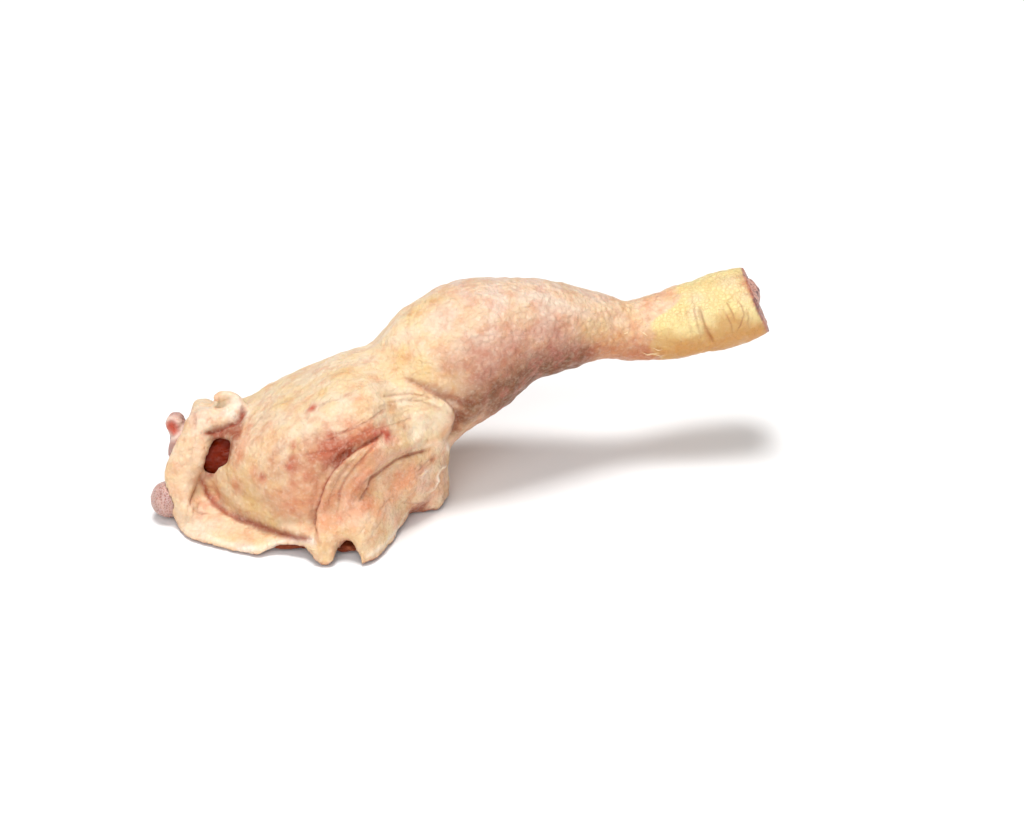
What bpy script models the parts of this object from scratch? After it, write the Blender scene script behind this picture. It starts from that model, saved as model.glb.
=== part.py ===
"""A raw chicken leg: the thigh, the drumstick and the hock in one piece of skin.

The leg stands on the flat underside of its thigh, with the drumstick raised. The skin has
slipped back from the cut end of the thigh, on the left, and shows the meat and the end of the
thigh bone. Units are metres, +X runs from the thigh to the hock, -Y is the front and +Z is up.
"""

import math

import bmesh
import bpy
import numpy as np
from mathutils import Vector, noise

# Gap between pieces that touch
SKIN_GAP = 0.00035
# Grids that fuse overlapping forms, and how much the fused skin is smoothed
BODY_VOXEL = 0.0018
SKIN_VOXEL = 0.0009
BONE_VOXEL = 0.0007
BODY_SOFTENING = 24
EDGE_SOFTENING = 5
# Faces that each piece keeps
LEG_TRIANGLES = 9600
MEAT_TRIANGLES = 1300
BONE_TRIANGLES = 420
# Points round a form, and sections along it
RING_POINTS = 44
SECTIONS = 90
# Outline of the thigh's slices: 2 is an ellipse, and more is nearer to a box
THIGH_SQUARENESS = 2.5
# Unevenness: height, size of a lump, place in the noise
SKIN_UNEVENNESS = ((0.0006, 0.0110, 3.0), (0.0003, 0.0045, 8.0))
MEAT_UNEVENNESS = ((0.0014, 0.0065, 5.0),)
# Side of the blocks that trim the leg off flat
BLOCK = 0.5

# Thigh, from its cut end to the lobe below the knee: x, middle y, half depth, bottom z, top z
THIGH_STATIONS = (
    (-0.1040, 0.013, 0.012, 0.006, 0.024),
    (-0.1010, 0.012, 0.016, 0.000, 0.030),
    (-0.0950, 0.009, 0.022, -0.003, 0.035),
    (-0.0870, 0.006, 0.028, -0.004, 0.0375),
    (-0.0790, 0.004, 0.032, -0.004, 0.0430),
    (-0.0610, 0.002, 0.039, -0.004, 0.0520),
    (-0.0430, 0.003, 0.039, -0.004, 0.0600),
    (-0.0330, 0.005, 0.038, -0.004, 0.0610),
    (-0.0230, 0.006, 0.031, -0.004, 0.0530),
    (-0.0120, 0.008, 0.023, -0.002, 0.038),
    (-0.0060, 0.010, 0.016, 0.004, 0.033),
    (-0.0035, 0.011, 0.008, 0.014, 0.028),
)

# Knee, drumstick and hock: x, y, z of the middle, half height, half depth
LIMB_STATIONS = (
    (-0.0700, 0.003, 0.020, 0.0060, 0.0080),
    (-0.0580, 0.004, 0.024, 0.0150, 0.0200),
    (-0.0430, 0.009, 0.0320, 0.0222, 0.0270),
    (-0.0230, 0.016, 0.0380, 0.0232, 0.0285),
    (-0.0070, 0.023, 0.0494, 0.0282, 0.0275),
    (0.0090, 0.028, 0.0576, 0.0281, 0.0268),
    (0.0250, 0.032, 0.0616, 0.0222, 0.0224),
    (0.0410, 0.036, 0.0608, 0.0190, 0.0185),
    (0.0570, 0.0395, 0.0594, 0.0142, 0.0138),
    (0.0690, 0.0420, 0.0561, 0.0125, 0.0126),
    (0.0810, 0.0445, 0.0560, 0.0138, 0.0140),
    (0.0970, 0.0480, 0.0586, 0.0150, 0.0162),
    (0.1110, 0.0508, 0.0618, 0.0160, 0.0168),
    (0.1170, 0.0518, 0.0628, 0.0158, 0.0166),
    (0.1230, 0.0528, 0.0636, 0.0148, 0.0156),
    (0.1280, 0.0535, 0.0645, 0.0122, 0.0132),
    (0.1330, 0.0540, 0.0650, 0.0084, 0.0094),
)

# Edge of the loose skin, from the bone round the front to the knee: x, y, swell of the skin
HEM_EDGE = (
    (-0.1140, -0.0120, 0.0),
    (-0.1120, -0.0205, 0.0),
    (-0.1065, -0.0295, 0.0),
    (-0.0900, -0.0375, 0.0),
    (-0.0780, -0.0430, 0.0),
    (-0.0530, -0.0490, 0.0030),
    (-0.0360, -0.0485, 0.0050),
    (-0.0262, -0.0330, 0.0045),
    (-0.0218, -0.0195, 0.0042),
    (-0.0145, -0.0110, 0.0035),
    (-0.0080, -0.0080, 0.0035),
    (-0.0045, 0.0030, 0.0030),
)
# Where that edge draws back and lifts: x, half width, how far back, how high
HEM_NOTCHES = (
    (-0.0655, 0.0095, 0.0062, 0.0040),
    (-0.0430, 0.0042, 0.0085, 0.0040),
    (-0.0185, 0.0022, 0.0040, 0.0010),
)
HEM_HEIGHT = 0.0016
HEM_RAGGED = 0.0005
# Line along the thigh where that skirt of skin grows out of it: x, y, z
HEM_ROOT = (
    (-0.1040, -0.0040, 0.0100),
    (-0.0990, -0.0060, 0.0090),
    (-0.0920, -0.0120, 0.0075),
    (-0.0820, -0.0200, 0.0060),
    (-0.0700, -0.0270, 0.0060),
    (-0.0590, -0.0280, 0.0120),
    (-0.0480, -0.0240, 0.0260),
    (-0.0380, -0.0170, 0.0350),
    (-0.0280, -0.0090, 0.0370),
    (-0.0200, -0.0020, 0.0340),
    (-0.0140, 0.0060, 0.0300),
)
HEM_SECTIONS = 130
HEM_STEPS = 7
HEM_EDGE_HALF = 0.0012
HEM_ROOT_HALF = 0.0034

# Rolled edge of the skin round the mouth of the thigh: x, y, z, half width, half thickness
RIM_STATIONS = (
    (-0.1075, -0.0215, 0.0040, 0.0052, 0.0032),
    (-0.1104, -0.0170, 0.0110, 0.0055, 0.0036),
    (-0.1102, -0.0115, 0.0190, 0.0074, 0.0040),
    (-0.1070, -0.0080, 0.0260, 0.0074, 0.0040),
    (-0.1040, -0.0020, 0.0325, 0.0066, 0.0040),
    (-0.1030, 0.0080, 0.0360, 0.0052, 0.0034),
    (-0.1035, 0.0200, 0.0330, 0.0046, 0.0032),
    (-0.1050, 0.0275, 0.0220, 0.0044, 0.0030),
    (-0.1050, 0.0255, 0.0080, 0.0044, 0.0030),
    (-0.1050, 0.0140, 0.0026, 0.0044, 0.0026),
    (-0.1060, -0.0040, 0.0022, 0.0050, 0.0026),
)
RIM_MIDDLE = (-0.1050, 0.0060, 0.0170)

# Curl in which the rolled edge ends, on top of the thigh: x, y, z, radius
CURL_STATIONS = (
    (-0.1050, -0.0020, 0.0290, 0.0054),
    (-0.1035, 0.0020, 0.0350, 0.0058),
    (-0.0985, 0.0040, 0.0350, 0.0056),
    (-0.0930, 0.0052, 0.0355, 0.0050),
    (-0.0888, 0.0062, 0.0378, 0.0044),
    (-0.0878, 0.0072, 0.0410, 0.0030),
    (-0.0902, 0.0080, 0.0442, 0.0020),
    (-0.0945, 0.0080, 0.0452, 0.0018),
    (-0.0978, 0.0066, 0.0435, 0.0019),
)
# Skin behind the eye of the curl, and where the rolled edge meets the thigh: middle, radii
SKIN_LUMPS = (
    ((-0.0945, 0.0115, 0.0390), (0.0046, 0.0036, 0.0042)),
    ((-0.1015, -0.0040, 0.0120), (0.0070, 0.0080, 0.0090)),
    ((-0.1030, -0.0100, 0.0060), (0.0060, 0.0080, 0.0060)),
)

# Gap between the rolled edge and the thigh, through which the meat shows: its corners on the
# fold sheet, and how far it reaches in front of the skin and behind it
GAP_CORNERS = ((-0.0968, 0.0249), (-0.0896, 0.0249), (-0.0920, 0.0155), (-0.1008, 0.0143))
GAP_REACH = (0.0060, 0.0260)

# Raw meat in the mouth of the thigh: middle, radii
MEAT_LUMPS = (
    ((-0.0860, 0.0080, 0.0190), (0.0280, 0.0190, 0.0150)),
    ((-0.1040, 0.0000, 0.0240), (0.0100, 0.0080, 0.0070)),
    ((-0.1050, 0.0140, 0.0150), (0.0085, 0.0100, 0.0090)),
    ((-0.1140, 0.0060, 0.0314), (0.0040, 0.0046, 0.0058)),
    ((-0.1128, 0.0040, 0.0235), (0.0046, 0.0060, 0.0085)),
    ((-0.1085, 0.0050, 0.0270), (0.0060, 0.0060, 0.0060)),
)

# Thigh bone: centre and radius of its ball, then the points of its shaft and their radii
BALL_MIDDLE = (-0.1160, -0.0120, 0.0080)
BALL_RADIUS = 0.0076
SHAFT_STATIONS = (
    (-0.1130, -0.0100, 0.0090, 0.0052),
    (-0.1060, -0.0040, 0.0130, 0.0044),
    (-0.0950, 0.0030, 0.0170, 0.0040),
    (-0.0700, 0.0070, 0.0190, 0.0040),
)

# Cut end of the hock: a point on the cut, its outward direction, and the knuckle that shows there
SHANK_CUT_POINT = (0.1244, 0.0530, 0.0620)
SHANK_CUT_NORMAL = (0.923, 0.060, 0.407)
KNUCKLE_LUMPS = (
    ((0.1130, 0.0480, 0.0655), (0.0112, 0.0080, 0.0086)),
    ((0.1142, 0.0585, 0.0640), (0.0114, 0.0076, 0.0088)),
    ((0.1172, 0.0528, 0.0590), (0.0084, 0.0084, 0.0074)),
    ((0.1150, 0.0532, 0.0655), (0.0098, 0.0080, 0.0080)),
)
SHANK_STATIONS = (
    (0.1100, 0.0510, 0.0610, 0.0060),
    (0.0960, 0.0480, 0.0585, 0.0052),
    (0.0700, 0.0420, 0.0560, 0.0046),
)

# Folds are laid out on a sheet that leans back by this angle: x, and height up the sheet
SHEET_LEAN = math.radians(30)
# In half widths of a fold: where the skin beside it is highest, how far that rise spreads, and
# how far from its ends the fold begins to fade
RISE_AT = 2.6
RISE_SPREAD = 1.8
FOLD_FADE = 5
# Each fold: its depth, its half width, the rise of the skin on the left hand of its line, its line
FOLDS = (
    (0.0022, 0.0012, 0.0016,
     ((-0.0250, 0.0270), (-0.0420, 0.0199), (-0.0500, 0.0127), (-0.0545, 0.0027), (-0.0556, -0.0157))),
    (0.0007, 0.0010, 0.0003, ((-0.0400, 0.0175), (-0.0456, 0.0087), (-0.0475, -0.0073))),
    (0.0016, 0.0012, 0.0014, ((-0.0390, 0.0010), (-0.0310, 0.0122), (-0.0228, 0.0183), (-0.0100, 0.0225))),
    (0.0006, 0.0014, 0.0004, ((-0.0590, 0.0200), (-0.0548, 0.0259), (-0.0388, 0.0335), (-0.0300, 0.0387))),
    (0.0010, 0.0014, 0.0016,
     ((-0.1016, 0.0095), (-0.0940, -0.0009), (-0.0780, -0.0093), (-0.0628, -0.0143), (-0.0560, -0.0153))),
    (0.0010, 0.0011, 0.0004, ((-0.1064, -0.0025), (-0.1036, 0.0080), (-0.1000, 0.0150))),
    (0.0016, 0.0015, 0.0016, ((0.0110, 0.0405), (0.0000, 0.0408), (-0.0108, 0.0455), (-0.0208, 0.0491))),
    (0.0026, 0.0013, 0.0016,
     ((-0.0036, 0.0247), (-0.0008, 0.0291), (0.0004, 0.0327), (0.0000, 0.0359), (-0.0020, 0.0391), (-0.0052, 0.0415))),
    (0.0014, 0.0009, 0.0007,
     ((-0.1020, 0.0270), (-0.0986, 0.0274), (-0.0949, 0.0284), (-0.0893, 0.0309), (-0.0864, 0.0345), (-0.0863, 0.0391))),
    (0.0004, 0.0012, 0.0003, ((-0.0368, 0.0407), (-0.0250, 0.0430), (-0.0148, 0.0439), (-0.0060, 0.0415))),
    (0.0009, 0.0010, 0.0006, ((0.0970, 0.0790), (0.0990, 0.0730), (0.1030, 0.0635))),
)


def curve_through(points, count, closed=False):
    """Samples of a smooth curve through rows of numbers, spaced by their distance in x, y, z."""
    rows = np.array(points, float)
    if closed:
        rows = np.vstack([rows[-2:], rows, rows[:3]])
    steps = np.linalg.norm(np.diff(rows[:, :3], axis=0), axis=1)
    knots = np.concatenate([[0.0], np.cumsum(steps)])
    slopes = np.diff(rows, axis=0) / steps[:, None]
    inner = (slopes[1:] * steps[:-1, None] + slopes[:-1] * steps[1:, None]) / (steps[1:] + steps[:-1])[:, None]
    tangents = np.vstack([slopes[:1], inner, slopes[-1:]])
    first, last = (knots[2], knots[-3]) if closed else (knots[0], knots[-1])
    at = np.linspace(first, last, count, endpoint=not closed)
    span = np.clip(np.searchsorted(knots, at, side="right") - 1, 0, len(steps) - 1)
    t = ((at - knots[span]) / steps[span])[:, None]
    width = steps[span][:, None]
    start, end = rows[span], rows[span + 1]
    return (
        (2 * t**3 - 3 * t**2 + 1) * start
        + (t**3 - 2 * t**2 + t) * width * tangents[span]
        + (3 * t**2 - 2 * t**3) * end
        + (t**3 - t**2) * width * tangents[span + 1]
    )


def loft(rings, closed=False):
    """A bmesh skinned over rings of points, with its ends capped unless it closes on itself."""
    shape = bmesh.new()
    loops = [[shape.verts.new(point) for point in ring] for ring in rings]
    following = loops[1:] + loops[:1] if closed else loops[1:]
    for near, far in zip(loops, following):
        for i in range(len(near)):
            j = (i + 1) % len(near)
            shape.faces.new((near[i], near[j], far[j], far[i]))
    if not closed:
        shape.faces.new(loops[0])
        shape.faces.new(loops[-1])
    bmesh.ops.recalc_face_normals(shape, faces=shape.faces)
    return shape


def ball(middle, radii):
    """A bmesh ellipsoid."""
    shape = bmesh.new()
    bmesh.ops.create_uvsphere(shape, u_segments=24, v_segments=16, radius=1.0)
    for vertex in shape.verts:
        vertex.co = vertex.co * Vector(radii) + Vector(middle)
    return shape


def thigh_ring(station):
    """One upright slice of the thigh, a rounded box in outline."""
    x, middle, half, low, high = station
    angles = np.linspace(0.0, 2 * math.pi, RING_POINTS, endpoint=False)
    power = 2.0 / THIGH_SQUARENESS
    across = np.sign(np.cos(angles)) * np.abs(np.cos(angles)) ** power
    up = np.sign(np.sin(angles)) * np.abs(np.sin(angles)) ** power
    y = middle + half * across
    z = (low + high) / 2 + (high - low) / 2 * up
    return [(x, *point) for point in zip(y, z)]


def thigh_form():
    """The thigh, a flat-bottomed pillow of meat and skin."""
    return loft([thigh_ring(row) for row in curve_through(THIGH_STATIONS, SECTIONS)])


def tube_rings(path, half_heights, half_depths, upright=(0.0, 0.0, 1.0)):
    """Rings square to a path, with the first half size along upright."""
    rings = []
    angles = np.linspace(0.0, 2 * math.pi, RING_POINTS, endpoint=False)
    for i, middle in enumerate(path):
        ahead = path[min(i + 1, len(path) - 1)] - path[max(i - 1, 0)]
        ahead = ahead / np.linalg.norm(ahead)
        side = np.cross(ahead, upright)
        side = side / np.linalg.norm(side)
        up = np.cross(side, ahead)
        rings.append([
            middle + half_heights[i] * math.sin(a) * up + half_depths[i] * math.cos(a) * side for a in angles
        ])
    return rings


def limb_form():
    """The knee, the drumstick and the hock."""
    rows = curve_through(LIMB_STATIONS, SECTIONS)
    return loft(tube_rings(rows[:, :3], rows[:, 3], rows[:, 4]))


def hem_form():
    """The skirt of loose skin round the front of the thigh, thin at its edge and swollen between."""
    edge = curve_through([(x, y, 0.0, swell) for x, y, swell in HEM_EDGE], HEM_SECTIONS)
    root = curve_through(HEM_ROOT, HEM_SECTIONS)
    shares = np.linspace(0.0, 1.0, HEM_STEPS)
    rings = []
    for row, inner in zip(edge, root):
        outer = np.array((row[0], row[1], HEM_HEIGHT))
        run = inner - outer
        outward = -run / np.linalg.norm(run)
        up = np.cross(np.cross(outward, (0.0, 0.0, 1.0)), outward)
        up = up / np.linalg.norm(up)
        tatter = HEM_RAGGED * noise.noise(Vector(outer) / 0.003) * outward
        for x, half_width, back, lift in HEM_NOTCHES:
            share = math.exp(-(((outer[0] - x) / half_width) ** 4))
            tatter = tatter + share * np.array((0.0, back, lift))
        line = [
            outer + share * run + 4 * share * (1 - share) * row[3] * up + (1 - share) ** 4 * tatter
            for share in shares
        ]
        halves = HEM_EDGE_HALF + (HEM_ROOT_HALF - HEM_EDGE_HALF) * shares
        over = [point + half * up for point, half in zip(line, halves)]
        under = [point - half * up for point, half in zip(line, halves)]
        rings.append([line[0] + HEM_EDGE_HALF * outward, *over, *under[::-1]])
    return loft(rings)


def rim_form():
    """The rolled edge of the skin, a flat band bent round the mouth of the thigh."""
    rows = curve_through(RIM_STATIONS, SECTIONS, closed=True)
    angles = np.linspace(0.0, 2 * math.pi, RING_POINTS, endpoint=False)
    rings = []
    for i, row in enumerate(rows):
        ahead = rows[(i + 1) % len(rows), :3] - rows[i - 1, :3]
        outward = row[:3] - np.array(RIM_MIDDLE)
        outward[0] = 0.0
        across = np.cross(ahead, outward)
        across = across / np.linalg.norm(across)
        thick = np.cross(across, ahead)
        thick = thick / np.linalg.norm(thick)
        rings.append([
            row[:3] + row[3] * math.cos(a) * across + row[4] * math.sin(a) * thick for a in angles
        ])
    return loft(rings, closed=True)


def round_tube(stations):
    """A tube along x, y, z, radius stations."""
    rows = curve_through(stations, SECTIONS)
    return loft(tube_rings(rows[:, :3], rows[:, 3], rows[:, 3], upright=(0.0, 1.0, 0.0)))


def fused(name, forms, voxel, softening=EDGE_SOFTENING):
    """One object from overlapping forms, made into a single even skin of small faces."""
    joined = bmesh.new()
    for form in forms:
        mesh = bpy.data.meshes.new("form")
        form.to_mesh(mesh)
        form.free()
        joined.from_mesh(mesh)
        bpy.data.meshes.remove(mesh)
    mesh = bpy.data.meshes.new(name)
    joined.to_mesh(mesh)
    joined.free()
    made = bpy.data.objects.new(name, mesh)
    bpy.context.scene.collection.objects.link(made)
    remesh = made.modifiers.new("fuse", "REMESH")
    remesh.mode = "VOXEL"
    remesh.voxel_size = voxel
    smooth = made.modifiers.new("soften", "SMOOTH")
    smooth.factor = 0.5
    smooth.iterations = softening
    apply_modifiers(made)
    drop_scraps(made)
    return made


def drop_scraps(made):
    """Keeps only the largest connected skin: no loose scrap, and no hollow sealed inside."""
    shape = bmesh.new()
    shape.from_mesh(made.data)
    waiting = set(shape.verts)
    islands = []
    while waiting:
        front = [waiting.pop()]
        island = list(front)
        while front:
            for edge in front.pop().link_edges:
                for vertex in edge.verts:
                    if vertex in waiting:
                        waiting.remove(vertex)
                        front.append(vertex)
                        island.append(vertex)
        islands.append(island)
    islands.sort(key=len)
    scraps = [vertex for island in islands[:-1] for vertex in island]
    bmesh.ops.delete(shape, geom=scraps, context="VERTS")
    shape.to_mesh(made.data)
    shape.free()


def form_of(made):
    """An object's mesh as a form to fuse, in place of the object."""
    shape = bmesh.new()
    shape.from_mesh(made.data)
    bpy.data.objects.remove(made)
    return shape


def apply_modifiers(made):
    """Keeps an object's evaluated mesh as its own and drops its modifiers."""
    bpy.context.view_layer.update()
    graph = bpy.context.evaluated_depsgraph_get()
    mesh = bpy.data.meshes.new_from_object(made.evaluated_get(graph))
    made.modifiers.clear()
    made.data = mesh


def points_and_normals(made):
    count = len(made.data.vertices)
    points = np.empty(count * 3)
    made.data.vertices.foreach_get("co", points)
    normals = np.empty(count * 3)
    made.data.vertices.foreach_get("normal", normals)
    return points.reshape(-1, 3), normals.reshape(-1, 3)


def set_points(made, points):
    made.data.vertices.foreach_set("co", points.ravel())
    made.data.update()


def offsets_from(sheet, line):
    """How far points on the fold sheet lie from a line, positive on its left hand."""
    least = np.full(len(sheet), np.inf)
    offsets = np.zeros(len(sheet))
    for start, end in zip(line[:-1], line[1:]):
        run = end - start
        share = np.clip(((sheet - start) @ run) / (run @ run), 0.0, 1.0)
        off = sheet - start - share[:, None] * run
        length = np.hypot(off[:, 0], off[:, 1])
        left = run[0] * off[:, 1] - run[1] * off[:, 0] > 0
        nearer = length < least
        least[nearer] = length[nearer]
        offsets[nearer] = np.where(left, length, -length)[nearer]
    return offsets


def roughen(made, unevenness):
    """Smooth random lumps of each height and size."""
    points, normals = points_and_normals(made)
    heights = np.zeros(len(points))
    for height, size, place in unevenness:
        shift = Vector((place, place, place))
        heights += height * np.array([noise.noise(Vector(point) / size + shift) for point in points])
    set_points(made, points + normals * heights[:, None])


def sheet_directions():
    """Up the fold sheet, and straight out of its front."""
    up = np.array((0.0, math.sin(SHEET_LEAN), math.cos(SHEET_LEAN)))
    out = np.array((0.0, -math.cos(SHEET_LEAN), math.sin(SHEET_LEAN)))
    return up, out


def add_folds(made):
    """Presses the folds into the front of the skin, which rises on one side of each."""
    points, normals = points_and_normals(made)
    up, out = sheet_directions()
    sheet = np.column_stack([points[:, 0], points @ up])
    height = np.zeros(len(points))
    for depth, half_width, rise, line in FOLDS:
        path = curve_through([(x, along, 0.0) for x, along in line], SECTIONS)[:, :2]
        to_ends = np.minimum(*(np.linalg.norm(sheet - end, axis=1) for end in (path[0], path[-1])))
        fade = np.clip(to_ends / (FOLD_FADE * half_width), 0.2, 1.0)
        off = offsets_from(sheet, path) / half_width
        swell = np.exp(-(((off - RISE_AT) / RISE_SPREAD) ** 2))
        height += fade * (rise * swell - depth * np.exp(-(off**2)))
    facing = np.clip(4 * (normals @ out), 0.0, 1.0)
    set_points(made, points + normals * (height * facing)[:, None])


def thin_out(made, triangles):
    """Fewer faces, kept where the surface bends most."""
    count = sum(len(polygon.vertices) - 2 for polygon in made.data.polygons)
    decimate = made.modifiers.new("thin_out", "DECIMATE")
    decimate.ratio = triangles / count
    apply_modifiers(made)


def hidden(cutter):
    cutter.hide_render = True
    cutter.display_type = "WIRE"
    return cutter


def grown_copy(made, name, gap):
    """A helper the shape of an object and larger by a gap, for the hollow that it sits in."""
    cutter = bpy.data.objects.new(name, made.data.copy())
    bpy.context.scene.collection.objects.link(cutter)
    points, normals = points_and_normals(cutter)
    set_points(cutter, points + normals * gap)
    return hidden(cutter)


def cut(made, cutter):
    boolean = made.modifiers.new(cutter.name, "BOOLEAN")
    boolean.operation = "DIFFERENCE"
    boolean.solver = "EXACT"
    boolean.object = cutter


def object_from(name, shape):
    mesh = bpy.data.meshes.new(name)
    shape.to_mesh(mesh)
    shape.free()
    made = bpy.data.objects.new(name, mesh)
    bpy.context.scene.collection.objects.link(made)
    return made


def box_beyond(name, point, normal):
    """A helper block that fills the space beyond a plane."""
    shape = bmesh.new()
    bmesh.ops.create_cube(shape, size=BLOCK)
    turn = Vector(normal).to_track_quat("Z", "Y").to_matrix()
    for vertex in shape.verts:
        vertex.co = turn @ (vertex.co + Vector((0.0, 0.0, BLOCK / 2))) + Vector(point)
    return hidden(object_from(name, shape))


def gap_block():
    """A helper wedge for the gap between the rolled edge and the thigh."""
    up, out = sheet_directions()
    rings = []
    for reach in GAP_REACH:
        rings.append([np.array((x, 0.0, 0.0)) + along * up + reach * out for x, along in GAP_CORNERS])
    return hidden(object_from("gap_space", loft(rings)))


def finish(made, colour, roughness):
    """Smooth shading and the piece's own material."""
    look = bpy.data.materials.new(made.name)
    look.use_nodes = True
    shader = look.node_tree.nodes["Principled BSDF"]
    shader.inputs["Base Color"].default_value = (*colour, 1.0)
    shader.inputs["Roughness"].default_value = roughness
    shader.inputs["Metallic"].default_value = 0.0
    made.data.materials.clear()
    made.data.materials.append(look)
    made.data.shade_smooth()


def build_thigh_bone():
    """The thigh bone, its ball in the open and its shaft in the meat."""
    forms = [ball(BALL_MIDDLE, [BALL_RADIUS] * 3), round_tube(SHAFT_STATIONS)]
    bone = fused("thigh_bone", forms, BONE_VOXEL)
    thin_out(bone, BONE_TRIANGLES)
    finish(bone, (0.46, 0.32, 0.34), 0.45)
    return bone


def build_thigh_meat():
    """The raw meat that fills the thigh and shows in its mouth."""
    meat = fused("thigh_meat", [ball(middle, radii) for middle, radii in MEAT_LUMPS], BONE_VOXEL)
    roughen(meat, MEAT_UNEVENNESS)
    thin_out(meat, MEAT_TRIANGLES)
    finish(meat, (0.40, 0.10, 0.09), 0.40)
    return meat


def build_shank_bone():
    """The knuckle at the cut end of the hock, with the bone behind it."""
    forms = [ball(middle, radii) for middle, radii in KNUCKLE_LUMPS] + [round_tube(SHANK_STATIONS)]
    bone = fused("shank_bone", forms, BONE_VOXEL)
    thin_out(bone, BONE_TRIANGLES)
    finish(bone, (0.42, 0.22, 0.25), 0.45)
    return bone


def build_leg():
    """The leg in its skin, from the loose edge at the thigh to the hock."""
    body = fused("body", [thigh_form(), limb_form()], BODY_VOXEL, BODY_SOFTENING)
    forms = [form_of(body), hem_form(), rim_form(), round_tube(CURL_STATIONS)]
    forms += [ball(middle, radii) for middle, radii in SKIN_LUMPS]
    leg = fused("leg", forms, SKIN_VOXEL)
    add_folds(leg)
    roughen(leg, SKIN_UNEVENNESS)
    thin_out(leg, LEG_TRIANGLES)
    finish(leg, (0.80, 0.60, 0.42), 0.45)
    return leg


def set_origin(pieces):
    """Moves all so that the origin is under the middle of the whole, on the table."""
    bpy.context.view_layer.update()
    corners = np.array([
        piece.matrix_world @ Vector(corner) for piece in pieces for corner in piece.bound_box
    ])
    low, high = corners.min(axis=0), corners.max(axis=0)
    middle = Vector(((low[0] + high[0]) / 2, (low[1] + high[1]) / 2, 0.0))
    for piece in bpy.data.objects:
        piece.location -= middle


def main():
    for old in list(bpy.data.objects):
        bpy.data.objects.remove(old)
    leg = build_leg()
    meat = build_thigh_meat()
    thigh_bone = build_thigh_bone()
    shank_bone = build_shank_bone()
    table = box_beyond("table_space", (0.0, 0.0, 0.0), (0.0, 0.0, -1.0))
    cut(meat, grown_copy(thigh_bone, "bone_space", SKIN_GAP))
    for space in (
        grown_copy(meat, "meat_space", SKIN_GAP),
        grown_copy(thigh_bone, "shaft_space", SKIN_GAP),
        gap_block(),
        box_beyond("beyond_hock", SHANK_CUT_POINT, SHANK_CUT_NORMAL),
        grown_copy(shank_bone, "shank_space", SKIN_GAP),
        table,
    ):
        cut(leg, space)
    set_origin([leg, meat, thigh_bone, shank_bone])


main()
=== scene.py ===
import math

import bmesh
import bpy
import numpy as np
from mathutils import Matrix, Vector, noise
from mathutils.bvhtree import BVHTree


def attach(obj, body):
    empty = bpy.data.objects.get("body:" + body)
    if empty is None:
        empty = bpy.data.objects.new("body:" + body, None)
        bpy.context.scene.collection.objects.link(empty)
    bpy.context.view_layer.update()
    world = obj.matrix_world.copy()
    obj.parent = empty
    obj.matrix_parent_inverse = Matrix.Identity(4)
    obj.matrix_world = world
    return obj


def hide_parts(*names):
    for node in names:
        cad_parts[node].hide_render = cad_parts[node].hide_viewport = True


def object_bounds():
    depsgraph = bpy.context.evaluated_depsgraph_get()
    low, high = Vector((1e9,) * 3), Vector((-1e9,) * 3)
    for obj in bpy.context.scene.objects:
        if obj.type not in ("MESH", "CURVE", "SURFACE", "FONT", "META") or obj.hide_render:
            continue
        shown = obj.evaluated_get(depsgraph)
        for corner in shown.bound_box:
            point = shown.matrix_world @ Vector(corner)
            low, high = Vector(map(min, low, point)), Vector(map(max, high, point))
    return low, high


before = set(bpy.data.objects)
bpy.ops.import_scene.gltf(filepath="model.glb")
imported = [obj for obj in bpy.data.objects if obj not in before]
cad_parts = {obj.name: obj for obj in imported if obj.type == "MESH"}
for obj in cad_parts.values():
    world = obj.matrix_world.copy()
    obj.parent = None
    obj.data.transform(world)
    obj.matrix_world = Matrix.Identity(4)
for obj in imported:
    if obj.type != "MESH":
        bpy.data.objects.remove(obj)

cad_box = [list(corner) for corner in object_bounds()]

# The view. The leg is looked at from the front and 30 degrees above, from just under a metre.
# Every mark on the skin further down is placed as it is seen from here: how far across the
# picture and how far down it, where 2.5 steps are about a millimetre.
PICTURE_WIDTH = 1024
PICTURE_HEIGHT = 823
LENS = 85
SENSOR = 36
VIEW_TARGET = Vector((0.01936, -0.00896, 0.0417))
VIEW_DISTANCE = 0.9671
VIEW_RISE = math.radians(30)

towards_eye = Vector((0, -math.cos(VIEW_RISE), math.sin(VIEW_RISE)))
eye = VIEW_TARGET + towards_eye * VIEW_DISTANCE
camera_data = bpy.data.cameras.new("view")
camera_data.lens = LENS
camera_data.sensor_width = SENSOR
camera_data.clip_start = 0.05
camera = bpy.data.objects.new("view", camera_data)
camera.location = eye
camera.rotation_mode = "QUATERNION"
camera.rotation_quaternion = (-towards_eye).to_track_quat("-Z", "Y")
bpy.context.scene.collection.objects.link(camera)
bpy.context.scene.camera = camera
bpy.context.scene.view_settings.view_transform = "Standard"


def sight(across, down):
    """Direction in which a place of the picture is seen."""
    reach = LENS / SENSOR * PICTURE_WIDTH
    up = towards_eye.cross(Vector((1, 0, 0)))
    return (
        Vector((1, 0, 0)) * (across - PICTURE_WIDTH / 2)
        - up * (down - PICTURE_HEIGHT / 2)
        - towards_eye * reach
    ).normalized()


# The skin. One loose bag of plucked skin holds the thigh and the drumstick and ends at the hock.
# It is thin, moist and a little see-through over pink meat and yellow fat. It has slipped down
# the thigh, where it lies in folds, and its edge is rolled up round the cut end.
SKIN_GRAIN = 0.00112
SKIN_EASING = 10
DRAW_IN = 0.55
PUSH_OUT = -0.57


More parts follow.
